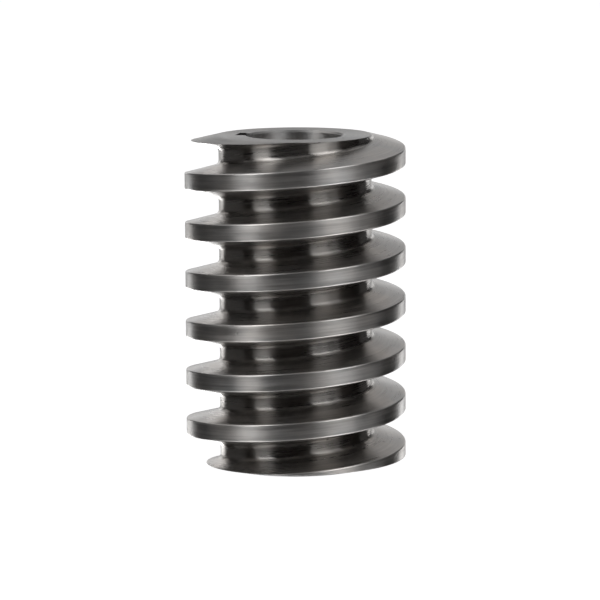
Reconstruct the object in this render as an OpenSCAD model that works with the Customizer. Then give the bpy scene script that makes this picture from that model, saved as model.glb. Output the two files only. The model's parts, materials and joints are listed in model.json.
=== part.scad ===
// Worm: a single-start, right-hand worm thread cut on a keyed sleeve, in one solid piece.
// It slides on a shaft, a key turns it with the shaft, and its thread drives a worm wheel.
// Origin: on the bore axis, in the plane of the lower end face. +Z runs along the bore axis.
// Angles are measured in plan from +X, anticlockwise seen from above.

/* [Thread] */
// Diametral pitch of the thread and of the wheel that it drives, per inch
diametral_pitch = 8; // [7:1:12]
// Pitch diameter of the thread
pitch_diameter = 38.1; // [36:0.1:50]
// Pressure angle of the flanks in a section through the axis, in degrees
pressure_angle = 14.5; // [12:0.5:18]
// Height at which the middle of the crest passes the +X direction
crest_height_at_x = 2.71; // [0:0.01:4]
// Bevel between a flank and the root
root_bevel = 0.5; // [0.2:0.05:0.8]

/* [Body] */
// Length from one end face to the other
worm_length = 66.675; // [40:0.005:90]
// Diameter of the flat ring on each end face, where the end relief starts
end_flat_diameter = 31.8; // [30:0.1:35]
// Slope of the end relief below the plane of the end face, in degrees
end_relief_angle = 13.5; // [5:0.5:25]

/* [Bore and keyway] */
// Diameter of the bore
bore_diameter = 19.05; // [12:0.05:20]
// Width of the bevel round each mouth of the bore
bore_bevel = 0.4; // [0.1:0.05:0.8]
// Width of the keyway
keyway_width = 4.7625; // [3:0.0125:5]
// Depth of the keyway's floor below the bore's wall, on the keyway's middle line
keyway_depth = 2.21; // [1.2:0.01:2.6]
// Direction in which the keyway points, in degrees
keyway_direction = 168; // [0:1:359]

/* [Fineness] */
// Flat facets along one turn of the thread
steps_per_turn = 72; // [48:6:90]

/* [Hidden] */

inch = 25.4;
// Gear-cutting proportions for a single-start worm of this pressure angle
addendum_factor = 1;
whole_depth_factor = 2.157;
// Overshoot that carries a cutting shape past the surface that it cuts
overshoot = 1;
// Facets of a full circle, which the solid keeps as a true circle
round_facets = 144;

axial_pitch = PI * inch / diametral_pitch;
addendum = addendum_factor * inch / diametral_pitch;
whole_depth = whole_depth_factor * inch / diametral_pitch;
crest_radius = pitch_diameter / 2 + addendum;
root_radius = crest_radius - whole_depth;
bore_radius = bore_diameter / 2;
keyway_floor = bore_radius + keyway_depth;
flat_radius = end_flat_diameter / 2;

// Half of the ridge's width along the axis, at a distance from the axis.
// At the pitch diameter the ridge and the groove are equally wide.
function half_width(r) = axial_pitch / 4 - (r - pitch_diameter / 2) * tan(pressure_angle);

bevel_radius = root_radius + root_bevel;
crest_half = half_width(crest_radius);
bevel_half = half_width(bevel_radius);
root_half = bevel_half + root_bevel;

// Corners of one ridge, as [distance from the axis, height from the middle of the crest]
corners = [
    [root_radius, -root_half],
    [bevel_radius, -bevel_half],
    [crest_radius, -crest_half],
    [crest_radius, crest_half],
    [bevel_radius, bevel_half],
    [root_radius, root_half]
];
per_turn = len(corners);

// Surface radius at a height from the middle of the nearest crest
function surface_radius(height) =
    lookup(abs(height), [
        [crest_half, crest_radius],
        [bevel_half, bevel_radius],
        [root_half, root_radius]
    ]);

// Height folded into half a pitch either side of the nearest crest
function fold(height) = height - axial_pitch * round(height / axial_pitch);

// Turns of the thread below the lower face, and in all, that surely cover the body
turns_below = 2;
turns = turns_below + ceil(worm_length / axial_pitch) + 2;
column_size = turns * per_turn;

// One corner of one turn in a column, held between the planes of the end faces
function column_point(step, i) =
    let (angle = step * 360 / steps_per_turn)
    let (corner = corners[i % per_turn])
    let (middle = crest_height_at_x + axial_pitch * (step / steps_per_turn))
    let (turn = floor(i / per_turn) - turns_below)
    let (free_z = middle + axial_pitch * turn + corner[1])
    let (z = max(0, min(worm_length, free_z)))
    let (r = z == free_z ? corner[0] : surface_radius(fold(z - middle)))
    [r * cos(angle), r * sin(angle), z];

// Index of a point. The column after the last is the first one, a whole turn further up.
function point_index(step, i) =
    step < steps_per_turn ? step * column_size + i : min(i + per_turn, column_size - 1);

// Root cylinder and helical ridge as one closed surface with flat ends
module thread() {
    points = [
        for (step = [0:steps_per_turn - 1])
            for (i = [0:column_size - 1])
                column_point(step, i)
    ];
    lower_middle = len(points);
    upper_middle = lower_middle + 1;
    sides = [
        for (step = [0:steps_per_turn - 1])
            for (i = [0:column_size - 2])
                let (a = point_index(step, i), b = point_index(step, i + 1))
                let (c = point_index(step + 1, i), d = point_index(step + 1, i + 1))
                each [[a, b, c], [b, d, c]]
    ];
    lower_cap = [
        for (step = [0:steps_per_turn - 1])
            [lower_middle, point_index(step, 0), point_index((step + 1) % steps_per_turn, 0)]
    ];
    top = column_size - 1;
    upper_cap = [
        for (step = [0:steps_per_turn - 1])
            [upper_middle, point_index((step + 1) % steps_per_turn, top), point_index(step, top)]
    ];
    polyhedron(
        points = concat(points, [[0, 0, 0], [0, 0, worm_length]]),
        faces = concat(sides, lower_cap, upper_cap),
        convexity = 20
    );
}

// Cutter for the shallow cone outside the flat of an end face, whose plane is z = 0
module end_relief() {
    outer = crest_radius + overshoot;
    rotate_extrude($fn = round_facets)
        polygon([
            [flat_radius, 0],
            [outer, -(outer - flat_radius) * tan(end_relief_angle)],
            [outer, overshoot],
            [flat_radius, overshoot]
        ]);
}

// Cutter for the bevel round one mouth of the bore, in an end face at z = 0
module mouth_bevel() {
    reach = bore_bevel + overshoot;
    translate([0, 0, -bore_bevel])
        cylinder(h = reach, r1 = bore_radius, r2 = bore_radius + reach, $fn = round_facets);
}

// What is cut at both ends alike
module both_ends() {
    translate([0, 0, worm_length])
        children();
    mirror([0, 0, 1])
        children();
}

// Bore and keyway, along the whole length
module keyed_bore() {
    through = worm_length + 2 * overshoot;
    translate([0, 0, -overshoot])
        cylinder(h = through, r = bore_radius, $fn = round_facets);
    rotate([0, 0, keyway_direction])
        translate([0, -keyway_width / 2, -overshoot])
            cube([keyway_floor, keyway_width, through]);
}

// The whole worm
module worm() {
    color([0.42, 0.42, 0.43])
        difference() {
            thread();
            both_ends() end_relief();
            both_ends() mouth_bevel();
            keyed_bore();
        }
}

worm();
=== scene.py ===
"""Looks for a one-piece worm: a turned steel sleeve with a helical thread and a keyed bore."""

import json
import math

import bmesh
import bpy
import numpy as np
from mathutils import Matrix, Vector


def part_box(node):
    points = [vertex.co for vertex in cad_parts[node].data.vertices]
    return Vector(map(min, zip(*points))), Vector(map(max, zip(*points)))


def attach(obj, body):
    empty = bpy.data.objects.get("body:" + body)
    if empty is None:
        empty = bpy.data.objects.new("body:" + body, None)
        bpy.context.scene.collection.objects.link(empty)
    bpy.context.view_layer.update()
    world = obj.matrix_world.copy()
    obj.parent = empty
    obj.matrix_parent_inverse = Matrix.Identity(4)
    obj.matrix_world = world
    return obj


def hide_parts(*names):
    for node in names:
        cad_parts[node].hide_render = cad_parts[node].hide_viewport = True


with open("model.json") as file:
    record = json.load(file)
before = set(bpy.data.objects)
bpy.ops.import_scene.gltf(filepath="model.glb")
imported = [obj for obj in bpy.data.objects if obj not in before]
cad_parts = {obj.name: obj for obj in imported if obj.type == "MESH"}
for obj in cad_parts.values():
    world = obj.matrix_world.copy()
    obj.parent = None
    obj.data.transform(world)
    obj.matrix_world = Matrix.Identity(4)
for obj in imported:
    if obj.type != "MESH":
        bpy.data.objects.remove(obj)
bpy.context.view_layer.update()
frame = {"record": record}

MM = 0.001

# ---------------------------------------------------------------- sizes, in millimetres
INCH = 25.4
DIAMETRAL_PITCH = 8
PRESSURE_ANGLE = math.radians(14.5)
AXIAL_PITCH = math.pi * INCH / DIAMETRAL_PITCH
WHOLE_DEPTH = 2.157 * INCH / DIAMETRAL_PITCH
ADDENDUM = INCH / DIAMETRAL_PITCH
# Height at which the middle of the crest passes the +X direction
CREST_HEIGHT_AT_X = 2.71
# The flat ring of each end face, and the slope of the shallow cone outside it
FLAT_RADIUS = 15.9
RELIEF_SLOPE = math.tan(math.radians(13.5))
# Small radii that the lathe tool and a file leave
CREST_EDGE_RADIUS = 0.33
ROOT_FILLET_RADIUS = 0.9
END_EDGE_BREAK = 0.10
BORE_EDGE_BREAK = 0.06
# Keyway: width, and distance of its floor from the axis
KEYWAY_WIDTH = 4.7625
KEYWAY_FLOOR = 11.735

# What the frame says: overall height, crest radius, bore and keyway direction
box_low, box_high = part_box("worm")
LENGTH = (box_high.z - box_low.z) / MM
CREST_RADIUS = (box_high.x - box_low.x) / 2 / MM
mounts = {m["name"]: m for m in frame["record"]["mounts"]}
BORE_RADIUS = mounts["bore"]["dims"]["r_mm"]
BORE_BEVEL = (LENGTH - mounts["bore"]["dims"]["length_mm"]) / 2
KEYWAY_ANGLE = math.atan2(mounts["keyway"]["pos_m"][1], mounts["keyway"]["pos_m"][0])
ROOT_RADIUS = CREST_RADIUS - WHOLE_DEPTH
PITCH_RADIUS = CREST_RADIUS - ADDENDUM

# ---------------------------------------------------------------- thread section
STEPS_PER_TURN = 288
CREST_ARC_POINTS = 6
ROOT_ARC_POINTS = 7
FLANK_STRIPS = 5
# The kinds of surface, which are also the numbers of the material slots
LAND, EDGE, FLANK, ROOT, FACE, WALL = range(6)


def half_width(radius):
    """Half of the ridge's width along the axis, at a radius."""
    return AXIAL_PITCH / 4 - (radius - PITCH_RADIUS) * math.tan(PRESSURE_ANGLE)


def rounded(corner, before, after, radius, count):
    """Points of an arc that rounds a corner between two unit directions of travel."""
    turn = math.acos(max(-1.0, min(1.0, before.dot(after))))
    reach = radius * math.tan(turn / 2)
    side = 1 if before.x * after.y - before.y * after.x > 0 else -1
    centre = corner - before * reach + Vector((-before.y, before.x)) * radius * side
    start = corner - before * reach - centre
    points = []
    for i in range(count):
        angle = side * turn * i / (count - 1)
        c, s = math.cos(angle), math.sin(angle)
        points.append(centre + Vector((start.x * c - start.y * s, start.x * s + start.y * c)))
    return points


def half_section():
    """From the middle of the crest to the middle of the root: points as (height, radius),
    and the surface that each stretch between two points belongs to."""
    land = Vector((1, 0))
    flank = Vector((math.sin(PRESSURE_ANGLE), -math.cos(PRESSURE_ANGLE)))
    crest_corner = Vector((half_width(CREST_RADIUS), CREST_RADIUS))
    root_corner = Vector((half_width(ROOT_RADIUS), ROOT_RADIUS))
    crest_arc = rounded(crest_corner, land, flank, CREST_EDGE_RADIUS, CREST_ARC_POINTS)
    root_arc = rounded(root_corner, flank, land, ROOT_FILLET_RADIUS, ROOT_ARC_POINTS)
    land_points = [Vector((crest_arc[0].x * t, CREST_RADIUS)) for t in (0, 0.5)]
    shares = [i / FLANK_STRIPS for i in range(1, FLANK_STRIPS)]
    flank_points = [crest_arc[-1].lerp(root_arc[0], t) for t in shares]
    root_middle = Vector((AXIAL_PITCH / 2, ROOT_RADIUS))
    root_points = [root_arc[-1].lerp(root_middle, t) for t in (0.5, 1)]
    points = land_points + crest_arc + flank_points + root_arc + root_points
    surfaces = [LAND] * len(land_points)
    surfaces += [EDGE] * (CREST_ARC_POINTS - 1)
    surfaces += [FLANK] * FLANK_STRIPS
    surfaces += [ROOT] * (ROOT_ARC_POINTS - 1 + len(root_points))
    return points, surfaces


half, half_surfaces = half_section()
# One whole ridge, upwards from just above a root's middle to the next root's middle
section_height = np.array([-p.x for p in half[-2:0:-1]] + [p.x for p in half])
section_radius = np.array([p.y for p in half[-2:0:-1]] + [p.y for p in half])
section_surfaces = half_surfaces[-2::-1] + half_surfaces + [ROOT]
PER_TURN = len(section_height)
TURNS_BELOW = 2
TURNS = TURNS_BELOW + math.ceil(LENGTH / AXIAL_PITCH) + 2

free_height = np.concatenate(
    [section_height + AXIAL_PITCH * (turn - TURNS_BELOW) for turn in range(TURNS)]
)
free_radius = np.tile(section_radius, TURNS)
travel = np.concatenate(
    [[0], np.cumsum(np.hypot(np.diff(free_height), np.diff(free_radius)))]
)

# ---------------------------------------------------------------- one column of the surface
# Points of the rounded corner between thread and end face, rings of the end faces and the wall
CORNER_POINTS = 4
RELIEF_RADII = np.linspace(CREST_RADIUS, FLAT_RADIUS, 9)
FACE_RADII = np.linspace(FLAT_RADIUS, BORE_RADIUS + BORE_BEVEL, 7)[1:-1]
WALL_HEIGHTS = np.linspace(LENGTH - BORE_BEVEL, BORE_BEVEL, 12)[1:-1]
MOUTH_POINTS = 3
END_POINTS = CORNER_POINTS - 1 + len(RELIEF_RADII) + len(FACE_RADII) + MOUTH_POINTS


def keyed_radius(angle):
    """Distance from the axis to the wall of the bore or of the keyway, at an angle."""
    off = (angle - KEYWAY_ANGLE + math.pi) % (2 * math.pi) - math.pi
    mouth = math.asin(KEYWAY_WIDTH / 2 / BORE_RADIUS)
    if abs(off) >= mouth:
        return BORE_RADIUS
    floor = KEYWAY_FLOOR / math.cos(off)
    side = KEYWAY_WIDTH / 2 / max(abs(math.sin(off)), 1e-9)
    return min(floor, side)


def column_angles():
    """Even steps round the axis, with the nearest ones moved onto the keyway's corners."""
    angles = np.arange(STEPS_PER_TURN) * 2 * math.pi / STEPS_PER_TURN
    mouth = math.asin(KEYWAY_WIDTH / 2 / BORE_RADIUS)
    corner = math.atan2(KEYWAY_WIDTH / 2, KEYWAY_FLOOR)
    for off in (-mouth, -corner, corner, mouth):
        wanted = (KEYWAY_ANGLE + off) % (2 * math.pi)
        angles[np.argmin(abs(angles - wanted))] = wanted
    return angles


def relief(radius):
    """How far the end relief lies inside the plane of the end face."""
    return np.maximum(0, radius - FLAT_RADIUS) * RELIEF_SLOPE


def thread_end(height, radius, along):
    """Where the section leaves the body through an end face at height 0, going up.
    Gives the travel at which the rounded corner begins, and the points of the corner and
    of the face, in towards the axis, as (height, radius)."""
    outside = height + relief(radius)
    first = int(np.argmax(outside > 0))
    share = -outside[first - 1] / (outside[first] - outside[first - 1])
    leave = along[first - 1] + share * (along[first] - along[first - 1])
    stop = leave - END_EDGE_BREAK
    before = np.array([np.interp(stop, along, height), np.interp(stop, along, radius)])
    corner_radius = np.interp(leave, along, radius)
    corner = np.array([-relief(corner_radius), corner_radius])
    after_radius = corner_radius - END_EDGE_BREAK
    after = np.array([-relief(after_radius), after_radius])
    share = np.linspace(0, 1, CORNER_POINTS)[1:, None]
    arc = (1 - share) ** 2 * before + 2 * share * (1 - share) * corner + share**2 * after
    radii = np.minimum(np.concatenate([RELIEF_RADII, FACE_RADII]), after_radius)
    face = np.stack([-relief(radii), radii], axis=1)
    return stop, np.concatenate([arc, face])


def mouth_points(wall):
    """Bevel at one mouth of the bore, from the end face at height 0 down to the wall."""
    bevel = BORE_RADIUS + BORE_BEVEL
    rim = max(wall + BORE_EDGE_BREAK, bevel)
    shoulder = max(wall, bevel - BORE_EDGE_BREAK)
    return np.array([[0, rim], [-BORE_EDGE_BREAK, shoulder], [-BORE_BEVEL, wall]])


def column(angle):
    """One column of points: the thread as (height, radius, travel), then the upper end,
    the bore downwards and the lower end as (height, radius)."""
    height = free_height + CREST_HEIGHT_AT_X + AXIAL_PITCH * angle / (2 * math.pi)
    top_stop, top = thread_end(height - LENGTH, free_radius, travel)
    # The lower end is an upper one seen in a mirror, with the travel running backwards.
    low_stop, low = thread_end(-height[::-1], free_radius[::-1], travel[-1] - travel[::-1])
    held = np.clip(travel, travel[-1] - low_stop, top_stop)
    thread = np.stack(
        [np.interp(held, travel, height), np.interp(held, travel, free_radius), held], axis=1
    )
    wall = keyed_radius(angle)
    mouth = mouth_points(wall)
    upper = np.concatenate([top, mouth]) + [LENGTH, 0]
    bore = np.stack([WALL_HEIGHTS, np.full(len(WALL_HEIGHTS), wall)], axis=1)
    lower = (np.concatenate([low, mouth]) * [-1, 1])[::-1]
    return thread, np.concatenate([upper, bore, lower])


# Start of the mark coordinate on the end faces and on the bore's wall, clear of the thread's
FACE_MARK, WALL_MARK = 1000, 2000


def surface_of(i, thread_size, rest_size):
    """Which surface the strip from point i of a column to the next one belongs to."""
    if i < thread_size - 1:
        return section_surfaces[i % PER_TURN]
    k = i - thread_size
    return WALL if END_POINTS - 1 <= k < rest_size - END_POINTS else FACE


def surface():
    """Vertices, quads, mark coordinates and surface numbers of the whole closed body."""
    angles = column_angles()
    columns = [column(a) for a in angles]
    thread_size, rest_size = len(columns[0][0]), len(columns[0][1])
    size = thread_size + rest_size
    place = np.arange(rest_size)
    on_wall = (place >= END_POINTS) & (place < rest_size - END_POINTS)
    points, marks = [], []
    for angle, (thread, rest) in zip(angles, columns):
        z, r = np.concatenate([thread[:, :2], rest]).T
        points.append(np.stack([r * math.cos(angle), r * math.sin(angle), z], axis=1))
        rest_mark = np.where(on_wall, WALL_MARK + rest[:, 0], FACE_MARK + rest[:, 1])
        marks.append(np.concatenate([thread[:, 2], rest_mark]))

    def index(step, i):
        """The column after the last is the first one, with the thread a whole turn further up."""
        if step < STEPS_PER_TURN:
            return step * size + i
        return min(i + PER_TURN, thread_size - 1) if i < thread_size else i

    quads, surfaces = [], []
    for step in range(STEPS_PER_TURN):
        for i in range(size):
            j = (i + 1) % size
            quads.append((index(step, i), index(step + 1, i), index(step + 1, j), index(step, j)))
            surfaces.append(surface_of(i, thread_size, rest_size))
    return np.concatenate(points), quads, np.concatenate(marks), surfaces


# Points closer than this are one point, and shorter edges are closed up, in metres
WELD_DISTANCE = 1e-6
SHORTEST_EDGE = 5e-7
# Edges between faces that meet at more than this stay sharp
SHARP_ANGLE = math.radians(38)
# How much the large faces lead in the shading of the rounded edges, out of 100
FACE_WEIGHT = 60


def clean(mesh):
    """Weld the points of the seams and turn all faces outwards."""
    bm = bmesh.new()
    bm.from_mesh(mesh)
    bmesh.ops.remove_doubles(bm, verts=bm.verts, dist=WELD_DISTANCE)
    bmesh.ops.dissolve_degenerate(bm, edges=bm.edges, dist=SHORTEST_EDGE)
    bmesh.ops.recalc_face_normals(bm, faces=bm.faces)
    bm.to_mesh(mesh)
    bm.free()


def build_worm(materials):
    """The whole worm as one closed mesh, with one material slot per kind of surface."""
    points, quads, marks, surfaces = surface()
    mesh = bpy.data.meshes.new("worm_body")
    mesh.from_pydata((points * MM).tolist(), [], quads)
    attribute = mesh.attributes.new("mark", "FLOAT", "POINT")
    attribute.data.foreach_set("value", marks.astype(np.float32))
    for m in materials:
        mesh.materials.append(m)
    mesh.polygons.foreach_set("material_index", surfaces)
    piece = bpy.data.objects.new("worm_body", mesh)
    bpy.context.scene.collection.objects.link(piece)
    clean(mesh)
    mesh.shade_smooth()
    mesh.set_sharp_from_angle(angle=SHARP_ANGLE)
    weighted = piece.modifiers.new("weighted_normals", "WEIGHTED_NORMAL")
    weighted.keep_sharp = True
    weighted.weight = FACE_WEIGHT
    return piece


# ---------------------------------------------------------------- materials
class Graph:
    """The node graph of one material, with short ways to add what the steel needs."""

    def __init__(self, name):
        self.material = bpy.data.materials.new(name)
        self.material.use_nodes = True
        self.nodes = self.material.node_tree.nodes
        self.links = self.material.node_tree.links
        self.shader = self.nodes["Principled BSDF"]
        self.place = self.node("ShaderNodeTexCoord").outputs["Object"]

    def node(self, kind, **settings):
        made = self.nodes.new(kind)
        for key, value in settings.items():
            setattr(made, key, value)
        return made

    def feed(self, socket, value):
        """Link an output, or set a plain number or colour."""
        if isinstance(value, bpy.types.NodeSocket):
            self.links.new(value, socket)
        else:
            socket.default_value = value

    def math(self, operation, a, b, c=None):
        made = self.node("ShaderNodeMath", operation=operation)
        self.feed(made.inputs[0], a)
        self.feed(made.inputs[1], b)
        if c is not None:
            self.feed(made.inputs[2], c)
        return made.outputs["Value"]

    def remap(self, value, low, high, to_low, to_high):
        made = self.node("ShaderNodeMapRange")
        for name, number in zip(("Value", "From Min", "From Max", "To Min", "To Max"),
                                (value, low, high, to_low, to_high)):
            self.feed(made.inputs[name], number)
        return made.outputs["Result"]

    def blend(self, factor, a, b):
        made = self.node("ShaderNodeMix", data_type="RGBA")
        self.feed(made.inputs["Factor"], factor)
        self.feed(made.inputs["A"], a)
        self.feed(made.inputs["B"], b)
        return made.outputs["Result"]


# Noise of the tool marks: lines per millimetre across them, lines per metre along, octaves
WIDE_MARKS = (0.8, 45, 2)
NARROW_MARKS = (2.6, 70, 3)
HAIR_MARKS = (8.0, 30, 2)
# Range of wide and narrow marks together that spans the tone and the gloss
MARKS_LOW, MARKS_HIGH = 0.72, 1.08
# The oil film: blots per metre, octaves
FILM = (130, 4)
# Small dark pits: cells per metre, radius where a pit begins and where it is full, and the
# patches that have any, as blots per metre, octaves and threshold
PIT_CELLS = 300
PIT_FULL, PIT_EDGE = 0.05, 0.11
PIT_PATCHES = (90, 1)
PIT_THRESHOLD = 0.62
# What a pit does to the tone, to the roughness and to the height of the surface
PIT_TONE, PIT_GLOSS, PIT_DEPTH = -0.35, 0.2, -3.0
# A quarter turn sets the wide side of the sheen across the tool marks
QUARTER_TURN = 0.25


def turned_sheen(g, anisotropy):
    """Bare metal whose sheen is stretched across marks that run round the axis."""
    g.shader.inputs["Metallic"].default_value = 1.0
    g.shader.inputs["Anisotropic"].default_value = anisotropy
    g.shader.inputs["Anisotropic Rotation"].default_value = QUARTER_TURN
    tangent = g.node("ShaderNodeTangent", direction_type="RADIAL", axis="Z")
    g.links.new(tangent.outputs["Tangent"], g.shader.inputs["Tangent"])


def streaks(g, across, along, detail):
    """Noise with so many lines per millimetre across the marks, and per metre along them."""
    mark = g.node("ShaderNodeAttribute", attribute_name="mark").outputs["Fac"]
    split = g.node("ShaderNodeSeparateXYZ")
    g.links.new(g.place, split.inputs["Vector"])
    vector = g.node("ShaderNodeCombineXYZ")
    g.links.new(g.math("MULTIPLY", mark, across), vector.inputs["X"])
    g.links.new(g.math("MULTIPLY", split.outputs["X"], along), vector.inputs["Y"])
    g.links.new(g.math("MULTIPLY", split.outputs["Y"], along), vector.inputs["Z"])
    noise = g.node("ShaderNodeTexNoise")
    noise.inputs["Scale"].default_value = 1.0
    noise.inputs["Detail"].default_value = detail
    noise.inputs["Roughness"].default_value = 0.6
    g.links.new(vector.outputs["Vector"], noise.inputs["Vector"])
    return noise.outputs["Fac"]


def blots(g, scale, detail):
    """Noise of so many soft blots per metre, the same in every direction."""
    noise = g.node("ShaderNodeTexNoise")
    noise.inputs["Scale"].default_value = scale
    noise.inputs["Detail"].default_value = detail
    g.links.new(g.place, noise.inputs["Vector"])
    return noise.outputs["Fac"]


def pits(g):
    """1 in a small pit and 0 outside. Only some patches of the surface have any."""
    cells = g.node("ShaderNodeTexVoronoi", feature="F1")
    cells.inputs["Scale"].default_value = PIT_CELLS
    g.links.new(g.place, cells.inputs["Vector"])
    pit = g.remap(cells.outputs["Distance"], PIT_FULL, PIT_EDGE, 1.0, 0.0)
    chosen = g.math("GREATER_THAN", blots(g, *PIT_PATCHES), PIT_THRESHOLD)
    return g.math("MULTIPLY", pit, chosen)


def paint(g, colour, tone, film, warmth):
    """Base colour: the metal's own, warmer under the film, times the tone."""
    warm = (colour[0] * (1 + warmth), colour[1], colour[2] * (1 - warmth), 1)
    tint = g.blend(g.remap(film, 0.3, 0.7, 0.0, 1.0), (*colour, 1), warm)
    scale = g.node("ShaderNodeVectorMath", operation="SCALE")
    g.links.new(tint, scale.inputs[0])
    g.links.new(tone, scale.inputs["Scale"])
    g.links.new(scale.outputs["Vector"], g.shader.inputs["Base Color"])


def steel(name, colour, roughness, anisotropy, streak=0.14, groove=0.006, warmth=0.04):
    """Turned steel. Fine tool marks run along the thread or round the axis. streak is how much
    the marks vary in tone, groove their depth in millimetres, warmth the tint of the oil film."""
    g = Graph(name)
    turned_sheen(g, anisotropy)
    wide = streaks(g, *WIDE_MARKS)
    narrow = streaks(g, *NARROW_MARKS)
    lines = g.math("MULTIPLY_ADD", wide, 0.8, narrow)
    film = blots(g, *FILM)
    pit = pits(g)

    tone = g.remap(lines, MARKS_LOW, MARKS_HIGH, 1 - streak, 1 + streak)
    tone = g.math("MULTIPLY", tone, g.remap(film, 0.35, 0.65, 1 - streak / 2, 1 + streak / 2))
    tone = g.math("MULTIPLY", tone, g.math("MULTIPLY_ADD", pit, PIT_TONE, 1.0))
    paint(g, colour, tone, film, warmth)

    gloss = g.remap(lines, MARKS_LOW, MARKS_HIGH, roughness * 0.88, roughness * 1.12)
    gloss = g.math("MULTIPLY_ADD", film, 0.08, gloss)
    gloss = g.math("MULTIPLY_ADD", pit, PIT_GLOSS, gloss)
    g.links.new(gloss, g.shader.inputs["Roughness"])

    height = g.math("MULTIPLY_ADD", narrow, 1.5, wide)
    height = g.math("MULTIPLY_ADD", streaks(g, *HAIR_MARKS), 0.25, height)
    height = g.math("MULTIPLY_ADD", pit, PIT_DEPTH, height)
    bump = g.node("ShaderNodeBump")
    bump.inputs["Distance"].default_value = groove * MM
    g.links.new(height, bump.inputs["Height"])
    g.links.new(bump.outputs["Normal"], g.shader.inputs["Normal"])
    return g.material


STEEL = (0.52, 0.515, 0.51)
# Colour, roughness and anisotropy of each kind of surface
materials = {
    LAND: steel("land_steel", STEEL, 0.37, 0.8, streak=0.15),
    # The rounded crest edges are smoother than the land, and their lighter colour is a painted
    # highlight that draws the thin bright line along the crest.
    EDGE: steel("edge_steel", (0.62, 0.615, 0.61), 0.30, 0.6, streak=0.15),
    FLANK: steel("flank_steel", (0.47, 0.462, 0.457), 0.26, 0.5),
    # The root's steel is darker than the land's: painted shade in the groove between the turns.
    # Its warmer tint is the steel's own.
    ROOT: steel("root_steel", (0.47, 0.457, 0.442), 0.25, 1.0, 0.08, 0.002, 0.03),
    FACE: steel("face_steel", (0.46, 0.46, 0.46), 0.38, 0.6),
    # The bore's steel is lighter than the steel outside: painted light that brightens the bands
    # inside the bore.
    WALL: steel("bore_steel", (0.58, 0.58, 0.58), 0.32, 0.8),
}

worm_body = build_worm([materials[number] for number in sorted(materials)])
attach(worm_body, "root")
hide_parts("worm")

# ---------------------------------------------------------------- floor and light
middle = (box_low + box_high) / 2


def direction(azimuth, elevation):
    """Unit vector from the worm. Azimuth 0 is the camera's side, positive to its right."""
    a, e = math.radians(azimuth), math.radians(elevation)
    return Vector((math.sin(a) * math.cos(e), -math.cos(a) * math.cos(e), math.sin(e)))


PANEL_DISTANCE = 1.4


def panel_light(name, azimuths, elevations, radiance):
    """A soft panel that faces the worm and fills these ranges of azimuth and elevation."""
    azimuth, elevation = sum(azimuths) / 2, sum(elevations) / 2
    across = (azimuths[1] - azimuths[0]) * math.cos(math.radians(elevation))
    up = elevations[1] - elevations[0]
    data = bpy.data.lights.new(name, "AREA")
    data.shape = "RECTANGLE"
    data.size = 2 * PANEL_DISTANCE * math.tan(math.radians(across / 2))
    data.size_y = 2 * PANEL_DISTANCE * math.tan(math.radians(up / 2))
    data.energy = radiance * math.pi * data.size * data.size_y
    lamp = bpy.data.objects.new(name, data)
    way = direction(azimuth, elevation)
    lamp.location = middle + way * PANEL_DISTANCE
    lamp.rotation_mode = "QUATERNION"
    lamp.rotation_quaternion = way.to_track_quat("Z", "Y")
    lamp.visible_camera = False
    bpy.context.scene.collection.objects.link(lamp)


# Name, range of azimuth, range of elevation, radiance. The radiances come from a separate
# program that fitted many small panels to the brightness of the photo. They were rounded and
# merged, and 12 of the 26 panels were then changed.
PANELS = [
    ("left_key", (-66, -40), (10, 32), 2.15),
    ("left_key_top", (-66, -37), (32, 60), 2.9),
    ("left_shoulder", (-84, -68), (32, 60), 1.0),
    ("right_key", (23, 50), (10, 32), 1.8),
    ("right_tail", (50, 68), (10, 32), 0.8),
    ("right_key_top", (32, 68), (32, 60), 2.1),
    ("right_shoulder", (64, 80), (32, 60), 0.8),
    ("front_top", (-32, 20), (32, 60), 0.22),
    ("overhead", (-180, 180), (50, 110), 0.12),
    ("left_wall", (-148, -84), (-12, 10), 0.08),
    ("left_wall_top", (-148, -84), (32, 60), 0.6),
    ("right_wall", (112, 148), (-12, 10), 0.07),
    ("right_wall_top", (100, 148), (32, 60), 0.3),
    ("back_under", (150, 210), (-45, -24), 0.3),
    ("back_low_right", (152, 180), (-24, -12), 1.2),
    ("back_low_left", (180, 206), (-24, -13), 4.4),
    ("back_middle", (150, 210), (-12, 2), 0.5),
    ("back_horizon", (150, 210), (2, 9), 1.2),
    ("back_high", (150, 210), (9, 60), 0.46),
    ("back_right", (138, 152), (-22, -5), 2.2),
    ("back_left", (208, 220), (-24, -5), 1.7),
    ("table_left", (-75, -40), (-75, -30), 1.9),
    ("table_far_left", (-120, -75), (-75, -30), 0.6),
    ("table_front", (-30, 30), (-75, -30), 0.3),
    ("table_right", (40, 75), (-75, -30), 2.2),
    ("table_far_right", (75, 120), (-75, -30), 1.4),
]
for panel in PANELS:
    panel_light(*panel)


def glowing(name, strength):
    """A plain matt surface that gives off an even white light of its own."""
    material = bpy.data.materials.new(name)
    material.use_nodes = True
    shader = material.node_tree.nodes["Principled BSDF"]
    shader.inputs["Base Color"].default_value = (0.2, 0.2, 0.2, 1)
    shader.inputs["Roughness"].default_value = 0.9
    shader.inputs["Specular IOR Level"].default_value = 0.0
    shader.inputs["Emission Color"].default_value = (1, 1, 1, 1)
    shader.inputs["Emission Strength"].default_value = strength
    return material


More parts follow.
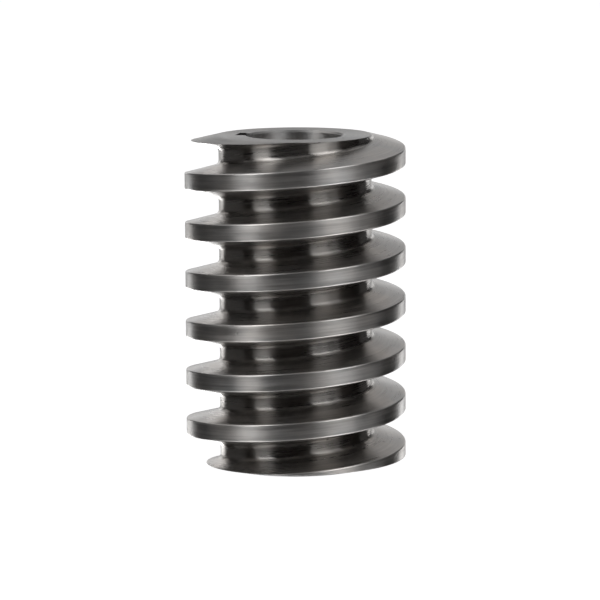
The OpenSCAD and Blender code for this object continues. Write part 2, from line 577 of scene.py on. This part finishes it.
def stage_piece(name, fill, material):
    """A part of the stage. The steel reflects the panels and the dim room, never the stage."""
    mesh = bpy.data.meshes.new(name)
    bm = bmesh.new()
    fill(bm)
    bm.to_mesh(mesh)
    bm.free()
    mesh.materials.append(material)
    piece = bpy.data.objects.new(name, mesh)
    piece.location = (0, 0, box_low.z)
    piece.visible_glossy = False
    piece.visible_diffuse = False
    piece.visible_shadow = False
    bpy.context.scene.collection.objects.link(piece)


STAGE_RADIUS = 3.0
DIM_ROOM = (0.004, 0.003, 0.003, 1)


def fill_floor(bm):
    bmesh.ops.create_circle(bm, cap_ends=True, segments=96, radius=STAGE_RADIUS)


def fill_backdrop(bm):
    bmesh.ops.create_icosphere(bm, subdivisions=4, radius=STAGE_RADIUS)


def make_stage():
    """A white floor inside a white dome, and the dim room that the steel sees."""
    stage_piece("floor", fill_floor, glowing("pale_table", 0.99))
    stage_piece("backdrop", fill_backdrop, glowing("pale_backdrop", 1.0))
    world = bpy.data.worlds.new("room")
    bpy.context.scene.world = world
    world.use_nodes = True
    world.node_tree.nodes["Background"].inputs["Color"].default_value = DIM_ROOM


make_stage()

# ---------------------------------------------------------------- camera
CAMERA_DISTANCE = 0.700
CAMERA_ELEVATION = 8.324
CAMERA_LENS = 207.9
# Small turns of the camera that place the worm in the picture, in degrees
CAMERA_YAW, CAMERA_PITCH, CAMERA_ROLL = -0.072, -0.013, 0.261


def make_camera():
    """A long lens in front of the worm and a little above it."""
    data = bpy.data.cameras.new("camera")
    data.sensor_width = 36
    data.lens = CAMERA_LENS
    data.clip_start, data.clip_end = 0.05, 20
    camera = bpy.data.objects.new("camera", data)
    bpy.context.scene.collection.objects.link(camera)
    place = Matrix.Translation(middle + direction(0, CAMERA_ELEVATION) * CAMERA_DISTANCE)
    aim = Matrix.Rotation(math.radians(90 - CAMERA_ELEVATION), 4, "X")
    turn = Matrix.Rotation(math.radians(CAMERA_YAW), 4, "Y")
    nod = Matrix.Rotation(math.radians(CAMERA_PITCH), 4, "X")
    roll = Matrix.Rotation(math.radians(-CAMERA_ROLL), 4, "Z")
    camera.matrix_world = place @ aim @ turn @ nod @ roll
    bpy.context.scene.camera = camera


make_camera()
bpy.context.scene.view_settings.view_transform = "Standard"
